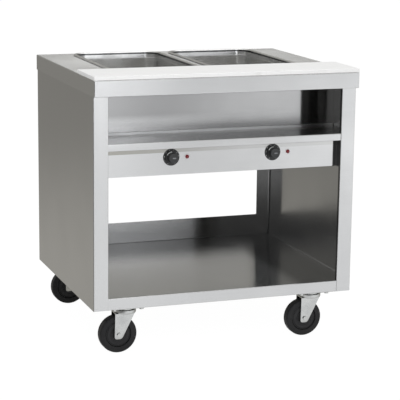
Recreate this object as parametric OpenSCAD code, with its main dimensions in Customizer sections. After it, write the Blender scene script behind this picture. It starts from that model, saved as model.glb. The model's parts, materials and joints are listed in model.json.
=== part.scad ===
// Two-well hot food trolley: a folded stainless cabinet on four swivel casters.
// Millimetres. X runs across the front, the front faces -Y and Z is up from the floor.
// The origin is on the floor, under the middle of the top.

/* [Top and cutting board] */
// Width of the top across the front
top_w = 914; // [860:2:1200]
// Height of the steel top above the floor
top_h = 914; // [880:2:960]
// Thickness of the top sheet
top_t = 1.6; // [1.2:0.1:2.4]
// Height of the turned-down edge round the top
apron_h = 53; // [40:1:70]
// How far the top stands out over the front of the body
front_overhang = 20; // [14:1:40]
// Depth of the top behind the pans
rear_margin = 31; // [25:1:60]
// Depth of the cutting board from front to back
board_d = 203; // [180:1:250]
// Thickness of the cutting board
board_t = 12.7; // [10:0.1:25]
// Diameter of the studs that locate the board
stud_d = 8; // [6:0.5:10]
// Height of the studs above the top
stud_h = 8; // [5:0.5:9]

/* [Pans and wells] */
// Width of a pan over its rim
pan_w = 324; // [300:1:330]
// Length of a pan over its rim
pan_l = 527; // [480:1:540]
// Depth of a pan from its rim to its floor
pan_depth = 100; // [65:1:150]
// Width of the flat rim of a pan
pan_rim = 11; // [8:0.5:14]
// Height of the rolled rim above the top
pan_rim_h = 6; // [4:0.5:9]
// Thickness of the pan sheet
pan_t = 0.8; // [0.6:0.1:1.2]
// Play between a pan and its cut-out, on each side
pan_play = 1.5; // [1:0.1:2.5]
// Distance between the centres of the two wells
well_pitch = 355; // [350:1:400]
// Depth of a well below the top
well_depth = 203; // [170:1:215]
// Thickness of the well sheet
liner_t = 1; // [0.8:0.1:1.5]
// Corner radius of the cut-outs in the top
cutout_r = 38; // [30:1:50]
// Thickness of the insulation round a well
insulation_t = 15; // [10:1:18]
// Diameter of the heating tube
element_d = 8; // [6:0.5:10]
// Distance between the runs of the heating tube
element_pitch = 60; // [50:1:70]

/* [Cabinet] */
// Thickness of the body sheets
skin_t = 1.2; // [0.9:0.1:1.6]
// Width of the folded posts at the front
post_w = 50.5; // [40:0.5:60]
// Width of the folded flanges at the back
rear_flange_w = 54; // [40:1:65]
// Depth of the return behind each folded edge
hem = 12; // [8:1:16]
// Height of the front edge of the lower shelf
kick_h = 39; // [32:1:60]
// Height of the kerb along the back of the lower shelf
kerb_h = 78; // [30:1:120]
// Drop from the top to the floor of the plate compartment
plate_drop = 207; // [180:1:240]
// Height of the lip of the plate compartment
plate_lip = 24; // [18:1:35]
// Height of the control panel below that lip
panel_h = 91; // [85:1:120]
// How far the control panel is set back from the body front
panel_recess = 32; // [27:1:60]
// Diameter of the screws that hold the rear panel
screw_d = 4; // [3:0.5:5]

/* [Controls] */
// How far the controls sit to the right of their wells, or to the left if negative
control_shift = -6; // [-14:1:14]
// Distance from a knob to its pilot lamp
lamp_offset = 54; // [45:1:65]
// Diameter of the dial plates
dial_d = 56; // [50:1:64]
// Diameter of the knobs
knob_d = 38; // [30:1:44]
// How far a knob stands out from its dial plate
knob_h = 24; // [18:1:30]
// Diameter of the switch shafts
shaft_d = 6; // [5:0.5:7]
// Diameter of the pilot lamp lenses
lens_d = 13; // [10:0.5:15]

/* [Casters] */
// Overall height of a caster
caster_h = 160; // [144:1:175]
// Height of a caster above its wheel
caster_head = 33; // [31:1:45]
// Width of the tyres
wheel_w = 32; // [26:1:34]
// Distance the axle trails behind the swivel
caster_trail = 26; // [20:1:34]
// Distance from the sides of the body to the swivels
side_inset = 123.2; // [100:0.1:135]
// Distance from the body front to the front swivels
front_inset = 60; // [52:1:90]
// Distance from the body back to the rear swivels
rear_inset = 49; // [49:1:90]
// Thickness of the caster channels
channel_t = 2.5; // [2:0.5:4]
// Width of the caster channels
channel_w = 124; // [120:1:140]

/* [Hidden] */
$fn = 48;
BEND_STEPS = 3;

// Clearances
apron_gap = 0.2;      // between the turned-down edge and the body
edge_gap = 0.3;       // where a folded edge is let in between two posts
running = 0.06;       // round a shaft, in its bore
loose = 0.5;          // round a bolt or a stud, in its hole
board_gap = 1;        // between the board and the pan rims
jacket_gap = 1.8;     // between a well jacket and the plate compartment
liner_gap = 0.5;      // between a well and its insulation
element_gap = 0.4;    // between a well and its heating tube
bend_r = 2.5;         // outer radius of the folds
relief = 1.5;         // cut off the corners of sheets that sit in a fold of the sides

// Overall frame
top_d = board_d + board_gap + pan_l + rear_margin;
top_x = top_w / 2;
top_y = top_d / 2;
under_top = top_h - top_t;
body_x = top_x - top_t - apron_gap;
inner_x = body_x - skin_t;
body_front = -top_y + front_overhang;
body_back = top_y - top_t - apron_gap;
post_in = body_x - post_w;
rear_in = body_x - rear_flange_w;
behind_post = body_front + hem;
rear_face = body_back - skin_t;       // inner face of the rear flanges
kerb_face = rear_face - skin_t;       // front face of the sheet behind it

rear_screw_from = 30;    // lowest screw above the bottom of the rear panel
rear_screw_pitch = 70;
stud_inset = 60;

// Levels
shelf_z = caster_h + kick_h;
plate_z = top_h - plate_drop;
lip_z = plate_z - plate_lip;
panel_z = lip_z - panel_h;
tray_z = panel_z + skin_t;
tray_floor = tray_z + skin_t;
tray_rim = 22;

// Wells, from the pans inwards
well_y = top_y - rear_margin - pan_l / 2;
pan_body_w = pan_w - 2 * pan_rim;
pan_body_l = pan_l - 2 * pan_rim;
cutout_w = pan_body_w + 2 * pan_play;
cutout_l = pan_body_l + 2 * pan_play;
pan_r = cutout_r + 2;
pan_taper = 2.5;
pan_bottom_r = 14;
liner_flange = 8;
flange_bend_r = 2;
liner_z = top_h - well_depth;
liner_bottom_r = 15;
element_z = liner_z - liner_t - element_gap - element_d / 2;
pocket_z = element_z - element_d / 2 - 1;
pocket_w = cutout_w + 2 * (liner_t + liner_gap);
pocket_l = cutout_l + 2 * (liner_t + liner_gap);
jacket_t = 1;
jacket_z = pocket_z - insulation_t - jacket_t;
jacket_w = pocket_w + 2 * (insulation_t + jacket_t);
jacket_l = pocket_l + 2 * (insulation_t + jacket_t);
jacket_top = under_top - liner_t;
element_runs = 4;
element_inset = 54;
element_half_l = cutout_l / 2 - element_inset;
element_tail = 16;
plate_back = well_y - jacket_l / 2 - jacket_gap - skin_t;

// Controls
panel_y = body_front + panel_recess;
control_rise = 58;
control_z = panel_z + control_rise;
dial_t = 1.5;
bush_d = 10;
switch_w = 46;
switch_h = 46;
switch_d = 30;
shaft_in = 14;
lamp_d = 12;
lamp_l = 24;
bezel_d = lens_d + 4;
bezel_t = 1.6;
lens_h = 4.5;
gland_from_side = 26;
gland_from_back = 46;
gland_x = inner_x - gland_from_side;
gland_y = kerb_face - gland_from_back;
gland_d = 16;
gland_pitch = 100;       // from the gland to the terminals
terminal_x = gland_x - gland_pitch;
terminal_l = 90;
terminal_w = 34;
terminal_h = 24;
terminal_step = 16;
wire_d = 5;
wire_r = 10;

// Casters
wheel_d = caster_h - caster_head;
caster_x = body_x - side_inset;
plate_l = 114;
plate_w = 95;
plate_t = 4;
race_h = 9;              // from the plate down to the rim of the cup
cup_h = 12.5;
bolt_dx = 93;
bolt_dy = 74;
bolt_d = 8;
nut_af = 13;
nut_t = 6.5;
front_swivel_y = body_front + front_inset;
rear_swivel_y = body_back - rear_inset;
axle_z = wheel_d / 2;
cup_top = caster_h - plate_t - race_h;
crown_z = cup_top - cup_h;
crown_t = 3.5;
cup_r = 37.5;
race_r = 31;
kingpin_d = 12;
ball_d = 8.6;
ball_ring_r = 23;
balls = 14;
leg_t = 3;
leg_gap = wheel_w + 8;
sleeve_d = 12;
hub_d = 30;
tyre_t = 21.5;
core_d = wheel_d - 2 * tyre_t;
swivel_gap = 0.4;        // between the plate and the turning cup
head_gap = 0.3;          // between the crown and the head of the kingpin
head_t = 3.2;
leg_end_r = 15;
leg_front = cup_r - 8;
ball_z = (crown_z + crown_t + cup_top + swivel_gap) / 2;

CASTERS = [
    ["front_left", [-caster_x, front_swivel_y]],
    ["front_right", [caster_x, front_swivel_y]],
    ["rear_left", [-caster_x, rear_swivel_y]],
    ["rear_right", [caster_x, rear_swivel_y]]
];
CASTER_PARTS = ["caster_plate", "caster_fork", "caster_axle", "wheel_core", "wheel_tyre"];
SIDES = [["left", -1], ["right", 1]];
SIDE_PARTS = [
    "side_panel", "caster_channel", "well_liner", "well_insulation", "well_jacket",
    "heating_element", "heat_switch", "pilot_lamp", "pilot_lens", "knob_shaft", "knob", "food_pan"
];
SINGLE_PARTS = [
    "top_deck", "board_studs", "cutting_board", "plate_shelf", "control_panel", "dial_plates",
    "service_tray", "rear_panel", "rear_panel_screws", "lower_shelf", "caster_bolts", "caster_nuts",
    "caster_balls", "terminal_block", "cord_gland", "wiring_loom"
];

// ---- Folded sheet: a section line, rounded at its bends and given a thickness ----

function unit(v) = v / norm(v);
function left_of(a, b) = let (d = unit(b - a)) [-d[1], d[0]];

// The arc of radius r that rounds the corner p between a and b
function bend_arc(a, p, b, r) =
    let (
        u = unit(a - p),
        v = unit(b - p),
        half = acos(u * v) / 2,
        centre = p + unit(u + v) * r / sin(half),
        from = p + u * r / tan(half) - centre,
        to = p + v * r / tan(half) - centre,
        start = atan2(from[1], from[0]),
        turn = atan2(cross(from, to), from * to)
    )
    [for (k = [0 : BEND_STEPS])
        let (angle = start + turn * k / BEND_STEPS)
        centre + r * [cos(angle), sin(angle)]];

// A line with its inner corners rounded: radii holds one radius for each inner corner
function rounded(line, radii) = [
    line[0],
    for (i = [1 : len(line) - 2])
        each bend_arc(line[i - 1], line[i], line[i + 1], radii[i - 1]),
    line[len(line) - 1]
];

// Point i of a line moved t to its left
function moved(line, i, t) =
    let (
        last = len(line) - 1,
        n1 = left_of(line[max(i - 1, 0)], line[max(i, 1)]),
        n2 = left_of(line[min(i, last - 1)], line[min(i + 1, last)]),
        m = n1 + n2
    )
    line[i] + m * 2 * t / (m * m);

// The outline of a sheet whose one face follows the line; t > 0 puts the metal on its left
function sheet(line, t) = concat(line, [for (i = [len(line) - 1 : -1 : 0]) moved(line, i, t)]);

// Sections in the YZ plane, drawn out along X
module along_x(half_width) {
    translate([-half_width, 0, 0])
        rotate([90, 0, 90])
            linear_extrude(2 * half_width)
                children();
}

// Sections in the XZ plane, drawn out along Y
module along_y(from, to) {
    translate([0, to, 0])
        rotate([90, 0, 0])
            linear_extrude(to - from)
                children();
}

// A plate with rounded corners, from z = 0 upwards
module rounded_plate(w, l, r, h) {
    translate([-w / 2 + r, -l / 2, 0]) cube([w - 2 * r, l, h]);
    translate([-w / 2, -l / 2 + r, 0]) cube([w, l - 2 * r, h]);
    for (x = [-1, 1]) for (y = [-1, 1])
        translate([x * (w / 2 - r), y * (l / 2 - r), 0]) cylinder(r = r, h = h);
}

// A box from its lowest to its highest corner
module box(low, high) {
    translate(low) cube(high - low);
}

// A box open at the top, with walls of thickness t
module open_box(w, l, low, high, t) {
    difference() {
        box([-w / 2, -l / 2, low], [w / 2, l / 2, high]);
        box([-w / 2 + t, -l / 2 + t, low + t], [w / 2 - t, l / 2 - t, high + 1]);
    }
}

// A drawn tray: its section, counted outwards from the corner centres, goes round all four sides
module drawn_tray(w, l, r, t, floor_z, section) {
    for (k = [0, 2]) rotate([0, 0, 90 * k]) {
        translate([w / 2 - r, l / 2 - r, 0])
            rotate([90, 0, 0]) linear_extrude(l - 2 * r) polygon(section);
        translate([w / 2 - r, l / 2 - r, 0]) rotate_extrude(angle = 90) polygon(section);
        rotate([0, 0, 90]) {
            translate([l / 2 - r, w / 2 - r, 0])
                rotate([90, 0, 0]) linear_extrude(w - 2 * r) polygon(section);
            translate([l / 2 - r, w / 2 - r, 0]) rotate_extrude(angle = 90) polygon(section);
        }
    }
    box([-w / 2 + r, -l / 2 + r, floor_z - t], [w / 2 - r, l / 2 - r, floor_z]);
}

module at_wells() {
    for (x = [-1, 1]) translate([x * well_pitch / 2, well_y, 0]) children();
}

module at_studs() {
    for (x = [-1, 0, 1]) translate([x * (top_x - stud_inset), -top_y + board_d / 2, 0]) children();
}

// Places of the knobs on the control panel, with +Z pointing out of the panel
module at_knobs(offset = 0) {
    for (x = [-1, 1])
        translate([x * well_pitch / 2 + control_shift + offset, panel_y, control_z])
            rotate([90, 0, 0])
                children();
}

module at_rear_screws() {
    for (x = [-1, 1]) for (k = [0 : 3])
        translate([x * (rear_in + body_x) / 2, body_back, panel_z + rear_screw_from + k * rear_screw_pitch])
            rotate([-90, 0, 0])
                children();
}

module at_caster_bolts(where = CASTERS) {
    for (caster = where) translate([caster[1][0], caster[1][1], 0])
        for (x = [-1, 1]) for (y = [-1, 1])
            translate([x * bolt_dx / 2, y * bolt_dy / 2, 0]) children();
}

// ---- Top ----

module top_deck() {
    color("silver") difference() {
        union() {
            difference() {
                box([-top_x, -top_y, top_h - apron_h], [top_x, top_y, top_h]);
                box([-top_x + top_t, -top_y + top_t, top_h - apron_h - 1],
                    [top_x - top_t, top_y - top_t, under_top]);
            }
            box([-top_x + top_t, -top_y + top_t, top_h - apron_h],
                [top_x - top_t, -top_y + hem, top_h - apron_h + top_t]);
        }
        at_wells() translate([0, 0, under_top - 1])
            rounded_plate(cutout_w, cutout_l, cutout_r, top_t + 2);
    }
}

module board_studs() {
    color("silver") at_studs() translate([0, 0, top_h]) {
        cylinder(d = stud_d, h = stud_h - 1);
        translate([0, 0, stud_h - 1]) cylinder(d1 = stud_d, d2 = stud_d - 2, h = 1);
    }
}

module cutting_board() {
    color("white") difference() {
        translate([0, -top_y + board_d / 2, top_h]) rounded_plate(top_w, board_d, 3, board_t);
        at_studs() translate([0, 0, top_h - 1]) cylinder(d = stud_d + 2 * loose, h = stud_h + loose + 1);
    }
}

// ---- Body ----

module side_panel(side) {
    line = rounded([
        [post_in, behind_post],
        [post_in, body_front],
        [body_x, body_front],
        [body_x, body_back],
        [rear_in, body_back]
    ], [bend_r, bend_r, bend_r]);
    color("darkgray") difference() {
        scale_side(side) translate([0, 0, caster_h])
            linear_extrude(under_top - caster_h) polygon(sheet(line, skin_t));
        at_rear_screws() cylinder(d = screw_d + 2 * running, h = 4 * skin_t, center = true);
    }
}

// The right-hand piece as drawn, or its mirror image on the left
module scale_side(side) {
    if (side < 0) mirror([1, 0, 0]) children();
    else children();
}

// Cuts at the two rear corners, clear of the bends of the side panels
module corner_reliefs() {
    for (x = [-1, 1]) scale_side(x)
        box([inner_x - relief, rear_face - relief, 0], [body_x, body_back, top_h]);
}

module plate_shelf() {
    lip = rounded([
        [body_front + hem, lip_z],
        [body_front, lip_z],
        [body_front, plate_z],
        [behind_post, plate_z]
    ], [bend_r, bend_r]);
    floor_and_back = rounded([
        [behind_post, plate_z],
        [plate_back, plate_z],
        [plate_back, under_top - skin_t],
        [plate_back - hem, under_top - skin_t]
    ], [bend_r - skin_t, bend_r - skin_t]);
    color("lightgray") {
        along_x(post_in - edge_gap) polygon(sheet(lip, -skin_t));
        along_x(inner_x) polygon(sheet(floor_and_back, -skin_t));
    }
}

module control_panel() {
    line = rounded([
        [panel_y + hem, panel_z],
        [panel_y, panel_z],
        [panel_y, plate_z - skin_t],
        [panel_y + hem, plate_z - skin_t]
    ], [bend_r, bend_r]);
    color("lightgray") difference() {
        union() {
            along_x(post_in + skin_t) polygon(sheet(line, -skin_t));
            for (x = [-1, 1]) scale_side(x)
                box([post_in, behind_post, panel_z], [post_in + skin_t, panel_y + skin_t, plate_z - skin_t]);
        }
        at_knobs() cylinder(d = bush_d + 2 * running, h = 4 * skin_t, center = true);
        at_knobs(lamp_offset) cylinder(d = lamp_d + 2 * running, h = 4 * skin_t, center = true);
    }
}

module service_tray() {
    color("gray") difference() {
        box([-inner_x, panel_y + bend_r + edge_gap, tray_z], [inner_x, kerb_face, tray_floor + tray_rim]);
        box([-inner_x + skin_t, panel_y, tray_floor], [inner_x - skin_t, kerb_face - skin_t, under_top]);
        translate([gland_x, gland_y, tray_z - 1]) cylinder(d = gland_d + 2 * running, h = 2 * tray_rim);
        corner_reliefs();
    }
}

module rear_panel() {
    color("gray") difference() {
        box([-inner_x, kerb_face, panel_z], [inner_x, rear_face, under_top]);
        at_rear_screws() cylinder(d = screw_d + 2 * running, h = 6 * skin_t, center = true);
        corner_reliefs();
    }
}

module rear_panel_screws() {
    color("silver") at_rear_screws() {
        cylinder(d1 = 2 * screw_d, d2 = 1.2 * screw_d, h = top_t);
        translate([0, 0, -7]) cylinder(d = screw_d, h = 7);
    }
}

module lower_shelf() {
    lip = rounded([
        [body_front + hem, caster_h],
        [body_front, caster_h],
        [body_front, shelf_z],
        [behind_post, shelf_z]
    ], [bend_r, bend_r]);
    floor_and_kerb = rounded([
        [behind_post, shelf_z],
        [kerb_face, shelf_z],
        [kerb_face, shelf_z + kerb_h]
    ], [bend_r - skin_t]);
    color("gray") {
        along_x(post_in - edge_gap) polygon(sheet(lip, -skin_t));
        difference() {
            along_x(inner_x) polygon(sheet(floor_and_kerb, -skin_t));
            corner_reliefs();
        }
        for (x = [-1, 1]) scale_side(x)
            box([inner_x - skin_t, behind_post + hem, caster_h + hem],
                [inner_x, kerb_face - hem, shelf_z - skin_t]);
    }
}

module caster_channel(side) {
    line = rounded([
        [caster_x - channel_w / 2, shelf_z - skin_t],
        [caster_x - channel_w / 2, caster_h],
        [caster_x + channel_w / 2, caster_h],
        [caster_x + channel_w / 2, shelf_z - skin_t]
    ], [channel_t + 1, channel_t + 1]);
    color("darkgray") difference() {
        scale_side(side) along_y(behind_post + 1, rear_face) polygon(sheet(line, channel_t));
        at_caster_bolts() translate([0, 0, caster_h - 1]) cylinder(d = bolt_d + 2 * loose, h = channel_t + 2);
    }
}

// ---- Wells ----

module at_well(side) {
    translate([side * well_pitch / 2, well_y, 0]) children();
}

module well_liner(side) {
    line = rounded([
        [0, liner_z],
        [cutout_r, liner_z],
        [cutout_r, under_top],
        [cutout_r + liner_flange, under_top]
    ], [liner_bottom_r, flange_bend_r]);
    color("silver") at_well(side)
        drawn_tray(cutout_w, cutout_l, cutout_r, liner_t, liner_z, sheet(line, -liner_t));
}

// The two tails of a heating tube, which drop through the insulation and the jacket
module at_element_tails() {
    for (x = [-1, 1])
        translate([x * element_pitch * (element_runs - 1) / 2, -element_half_l - element_tail, 0])
            children();
}

module heating_element(side) {
    first_x = -element_pitch * (element_runs - 1) / 2;
    color("dimgray") at_well(side) {
        for (k = [0 : element_runs - 1])
            translate([first_x + k * element_pitch, element_half_l, element_z])
                rotate([90, 0, 0]) cylinder(d = element_d, h = 2 * element_half_l);
        for (k = [0 : element_runs - 2])
            translate([first_x + (k + 0.5) * element_pitch, (k % 2 == 0 ? 1 : -1) * element_half_l, element_z])
                rotate([0, 0, k % 2 == 0 ? 0 : 180])
                    rotate_extrude(angle = 180)
                        translate([element_pitch / 2, 0]) circle(d = element_d);
        at_element_tails() {
            elbow([0, 0, element_z], [0, -1, 0], [0, 0, -1], element_tail, element_d);
            translate([0, 0, jacket_z - element_tail]) cylinder(d = element_d, h = element_z - jacket_z);
        }
    }
}

module well_insulation(side) {
    hole_d = element_d + 2 * loose;
    color("khaki") at_well(side) difference() {
        box([-jacket_w / 2 + jacket_t, -jacket_l / 2 + jacket_t, jacket_z + jacket_t],
            [jacket_w / 2 - jacket_t, jacket_l / 2 - jacket_t, jacket_top - flange_bend_r]);
        box([-pocket_w / 2, -pocket_l / 2, pocket_z], [pocket_w / 2, pocket_l / 2, jacket_top + 1]);
        at_element_tails() {
            translate([0, 0, jacket_z]) cylinder(d = hole_d, h = well_depth);
            box([-hole_d / 2, 0, element_z - element_tail], [hole_d / 2, element_tail, pocket_z + 1]);
        }
    }
}

module well_jacket(side) {
    color("darkgray") at_well(side) difference() {
        open_box(jacket_w, jacket_l, jacket_z, jacket_top, jacket_t);
        at_element_tails() translate([0, 0, jacket_z - 1]) cylinder(d = element_d + 2 * loose, h = well_depth);
    }
}

module food_pan(side) {
    rim_z = top_h + pan_rim_h;
    wall = pan_r - pan_t;
    foot = wall - (pan_depth * tan(pan_taper));
    line = rounded([
        [0, rim_z - pan_depth],
        [foot, rim_z - pan_depth],
        [wall, rim_z],
        [pan_r + pan_rim, rim_z],
        [pan_r + pan_rim, top_h]
    ], [pan_bottom_r, 3, 2.5]);
    color("gainsboro") at_well(side)
        drawn_tray(pan_body_w, pan_body_l, pan_r, pan_t, rim_z - pan_depth, sheet(line, -pan_t));
}

// ---- Controls ----

module at_control(side, offset = 0) {
    translate([side * well_pitch / 2 + control_shift + offset, panel_y, control_z])
        rotate([90, 0, 0])
            children();
}

module dial_plates() {
    color("black") at_knobs() difference() {
        cylinder(d = dial_d, h = dial_t);
        translate([0, 0, -1]) cylinder(d = bush_d + 2 * loose, h = dial_t + 2);
    }
}

module heat_switch(side) {
    color("dimgray") at_control(side) difference() {
        union() {
            translate([-switch_w / 2, -switch_h / 2, -skin_t - switch_d]) cube([switch_w, switch_h, switch_d]);
            translate([0, 0, -skin_t - 1]) cylinder(d = bush_d, h = skin_t + 1 + dial_t);
        }
        translate([0, 0, -shaft_in - 1]) cylinder(d = shaft_d + 2 * running, h = shaft_in + dial_t + 2);
    }
}

module knob_shaft(side) {
    color("silver") at_control(side) translate([0, 0, -shaft_in])
        cylinder(d = shaft_d, h = shaft_in + knob_h / 2);
}

module knob(side) {
    base = dial_t + loose;
    top = dial_t + knob_h;
    grip_h = knob_h * 0.35;
    grip_w = knob_d * 0.2;
    skirt_h = 3;
    color("black") at_control(side) difference() {
        union() {
            translate([0, 0, base]) cylinder(d = knob_d + 4, h = skirt_h);
            translate([0, 0, base]) cylinder(d1 = knob_d, d2 = knob_d - 3, h = top - grip_h - base);
            intersection() {
                translate([-knob_d, -grip_w / 2, top - grip_h - 1]) cube([2 * knob_d, grip_w, grip_h + 1]);
                translate([0, 0, base]) cylinder(d = knob_d - 3, h = knob_h);
            }
        }
        translate([0, 0, base - 1]) cylinder(d = shaft_d, h = knob_h / 2 - base + 1);
    }
}

module pilot_lamp(side) {
    color("gainsboro") at_control(side, lamp_offset) {
        cylinder(d = bezel_d, h = bezel_t);
        translate([0, 0, -lamp_l]) cylinder(d = lamp_d, h = lamp_l);
        for (x = [-1, 1]) translate([x * lamp_d / 4 - 0.4, -2, -lamp_l - 6]) cube([0.8, 4, 6]);
    }
}

module pilot_lens(side) {
    r = lens_d / 2;
    color("red") at_control(side, lamp_offset) translate([0, 0, bezel_t])
        rotate_extrude() polygon([
            [0, 0],
            [r, 0],
            for (a = [0 : 15 : 90]) [r * cos(a), lens_h / 3 + (lens_h * 2 / 3) * sin(a)]
        ]);
}

module terminal_block() {
    color("ivory") translate([terminal_x, gland_y, tray_floor]) difference() {
        translate([-terminal_l / 2, -terminal_w / 2, 0]) cube([terminal_l, terminal_w, terminal_h]);
        for (k = [-2 : 2])
            translate([k * terminal_step, 0, terminal_h - 6]) cylinder(d = 6, h = 7);
    }
}

module cord_gland() {
    color("black") translate([gland_x, gland_y, tray_z]) difference() {
        union() {
            translate([0, 0, -5]) cylinder(d = gland_d + 9, h = 5, $fn = 6);
            translate([0, 0, -20]) cylinder(d1 = gland_d, d2 = gland_d + 4, h = 15);
            cylinder(d = gland_d, h = skin_t + 10);
            translate([0, 0, skin_t]) cylinder(d = gland_d + 9, h = 5, $fn = 6);
        }
        translate([0, 0, -21]) cylinder(d = gland_d / 2, h = 40);
    }
}

// Its children turned so that their X, Y and Z run along x, y and z, and moved to the point
module placed(x, y, z, point) {
    multmatrix([
        [x[0], y[0], z[0], point[0]],
        [x[1], y[1], z[1], point[1]],
        [x[2], y[2], z[2], point[2]],
        [0, 0, 0, 1]
    ]) children();
}

// A quarter bend at the point, from direction a into direction b
module elbow(point, a, b, r, d) {
    placed(-b, a, cross(-b, a), point + (b - a) * r)
        rotate_extrude(angle = 90) translate([r, 0]) circle(d = d);
}

// A wire along square-cornered points, with an elbow at each corner
module wire(points) {
    last = len(points) - 1;
    for (i = [0 : last - 1]) {
        d = unit(points[i + 1] - points[i]);
        from = points[i] + d * (i == 0 ? 0 : wire_r);
        to = points[i + 1] - d * (i == last - 1 ? 0 : wire_r);
        across = abs(d[2]) > 0.5 ? [1, 0, 0] : [0, 0, 1];
        placed(across, cross(d, across), d, from) cylinder(d = wire_d, h = norm(to - from));
    }
    for (i = [1 : last - 1])
        elbow(points[i], unit(points[i] - points[i - 1]), unit(points[i + 1] - points[i]), wire_r, wire_d);
}

module wiring_loom() {
    back = panel_y + skin_t + switch_d;
    tail_y = well_y - element_half_l - element_tail;
    tag_dx = 12;         // from the middle of a switch to its two upper tags
    lead_z = control_z + 2;
    feed_tag_z = control_z - 14;
    lead_y = back + 24;
    color("white") for (side = [-1, 1]) {
        x = side * well_pitch / 2 + control_shift;
        feed_x = terminal_x - terminal_step * side;
        feed_y = back + 60 - 20 * side;
        feed_z = tray_floor + terminal_h / 2 + 4 * side;
        wire([
            [feed_x, gland_y - terminal_w / 2, feed_z],
            [feed_x, feed_y, feed_z],
            [x, feed_y, feed_z],
            [x, feed_y, feed_tag_z],
            [x, back, feed_tag_z]
        ]);
        for (end = [-1, 1]) {
            tail_x = side * well_pitch / 2 + end * element_pitch * (element_runs - 1) / 2;
            wire([
                [x + tag_dx * end, back, lead_z],
                [x + tag_dx * end, lead_y, lead_z],
                [tail_x, lead_y, lead_z],
                [tail_x, tail_y, lead_z],
                [tail_x, tail_y, jacket_z - element_tail]
            ]);
        }
    }
}

// ---- Casters: drawn with the swivel axis at the origin and the wheel trailing to -X ----

module caster_plate() {
    color("silver") {
        difference() {
            translate([0, 0, caster_h - plate_t]) rounded_plate(plate_l, plate_w, 8, plate_t);
            at_caster_bolts([["", [0, 0]]]) translate([0, 0, caster_h - plate_t - 1])
                cylinder(d = bolt_d + 2 * loose, h = plate_t + 2);
        }
        translate([0, 0, cup_top + swivel_gap])
            cylinder(r = race_r, h = caster_h - plate_t - cup_top - swivel_gap);
        translate([0, 0, crown_z - head_gap]) cylinder(d = kingpin_d, h = caster_h - plate_t - crown_z);
        translate([0, 0, crown_z - head_gap - head_t]) cylinder(d = 2 * kingpin_d, h = head_t);
    }
}

module caster_balls() {
    color("silver") for (caster = CASTERS) translate([caster[1][0], caster[1][1], 0])
        for (k = [0 : balls - 1]) rotate([0, 0, 360 * k / balls])
            translate([ball_ring_r, 0, ball_z]) sphere(d = ball_d);
}

// Outline of a fork leg in the XZ plane: upright at the back, slanting at the front
module fork_leg() {
    translate([-caster_trail, axle_z]) circle(r = leg_end_r);
    polygon([
        [-caster_trail - leg_end_r, axle_z],
        [-caster_trail + leg_end_r * cos(-24), axle_z + leg_end_r * sin(-24)],
        [leg_front, crown_z - 6],
        [leg_front, crown_z + crown_t],
        [-caster_trail - leg_end_r + 2, crown_z + crown_t]
    ]);
}

module caster_fork() {
    half = leg_gap / 2 + leg_t;
    color("silver") difference() {
        union() {
            for (y = [-half, leg_gap / 2])
                along_y(y, y + leg_t) fork_leg();
            box([-caster_trail - leg_end_r + 2, -half, crown_z], [leg_front, half, crown_z + crown_t]);
            translate([0, 0, crown_z]) difference() {
                cylinder(r = cup_r, h = cup_top - crown_z);
                translate([0, 0, crown_t]) cylinder(r = cup_r - 3, h = cup_top);
            }
        }
        translate([0, 0, crown_z - 1]) cylinder(d = kingpin_d + 2 * running, h = crown_t + 2);
        translate([-caster_trail, 0, axle_z]) rotate([90, 0, 0])
            cylinder(d = bolt_d + 2 * running, h = 4 * half, center = true);
    }
}

module caster_axle() {
    half = leg_gap / 2 + leg_t;
    color("silver") translate([-caster_trail, 0, axle_z]) rotate([90, 0, 0]) {
        translate([0, 0, -half - nut_t - 2]) cylinder(d = bolt_d, h = 2 * half + nut_t + 2);
        translate([0, 0, half]) cylinder(d = nut_af / cos(30), h = 5.5, $fn = 6);
        translate([0, 0, -half - nut_t]) difference() {
            cylinder(d = nut_af / cos(30), h = nut_t, $fn = 6);
            translate([0, 0, -1]) cylinder(d = bolt_d - 1, h = nut_t + 2);
        }
        difference() {
            cylinder(d = sleeve_d, h = leg_gap - 0.2, center = true);
            cylinder(d = bolt_d - 1, h = leg_gap + 2, center = true);
        }
    }
}

// Wheels turn about Y; their sections are drawn with the axle upright
module on_axle() {
    translate([-caster_trail, 0, axle_z]) rotate([90, 0, 0]) rotate_extrude($fn = 96) children();
}

module wheel_core() {
    bore = sleeve_d / 2 + running;
    half = wheel_w / 2;
    color("dimgray") on_axle() polygon([
        [bore, -leg_gap / 2 + 1],
        [hub_d / 2, -leg_gap / 2 + 1],
        [hub_d / 2 + 2, -half + 6],
        [core_d / 2 - 4, -half + 5],
        [core_d / 2, -half + 3],
        [core_d / 2, half - 3],
        [core_d / 2 - 4, half - 5],
        [hub_d / 2 + 2, half - 6],
        [hub_d / 2, leg_gap / 2 - 1],
        [bore, leg_gap / 2 - 1]
    ]);
}

module wheel_tyre() {
    half = wheel_w / 2;
    shoulder = 7;
    color("black") on_axle() polygon(concat(
        [[core_d / 2, half - 3], [core_d / 2, -half + 3], [core_d / 2 + 3, -half]],
        [for (a = [-90 : 15 : 0])
            [wheel_d / 2 - shoulder + shoulder * cos(a), -half + shoulder + shoulder * sin(a)]],
        [for (a = [0 : 15 : 90])
            [wheel_d / 2 - shoulder + shoulder * cos(a), half - shoulder + shoulder * sin(a)]],
        [[core_d / 2 + 3, half]]
    ));
}

module caster_bolts() {
    color("silver") at_caster_bolts() {
        translate([0, 0, caster_h - plate_t - 5.3]) cylinder(d = nut_af / cos(30), h = 5.3, $fn = 6);
        translate([0, 0, caster_h - plate_t - 1]) cylinder(d = bolt_d, h = plate_t + channel_t + nut_t + 3);
    }
}

module caster_nuts() {
    color("silver") at_caster_bolts() translate([0, 0, caster_h + channel_t]) difference() {
        cylinder(d = nut_af / cos(30), h = nut_t, $fn = 6);
        translate([0, 0, -1]) cylinder(d = bolt_d, h = nut_t + 2);
    }
}

// ---- Nodes ----

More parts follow.
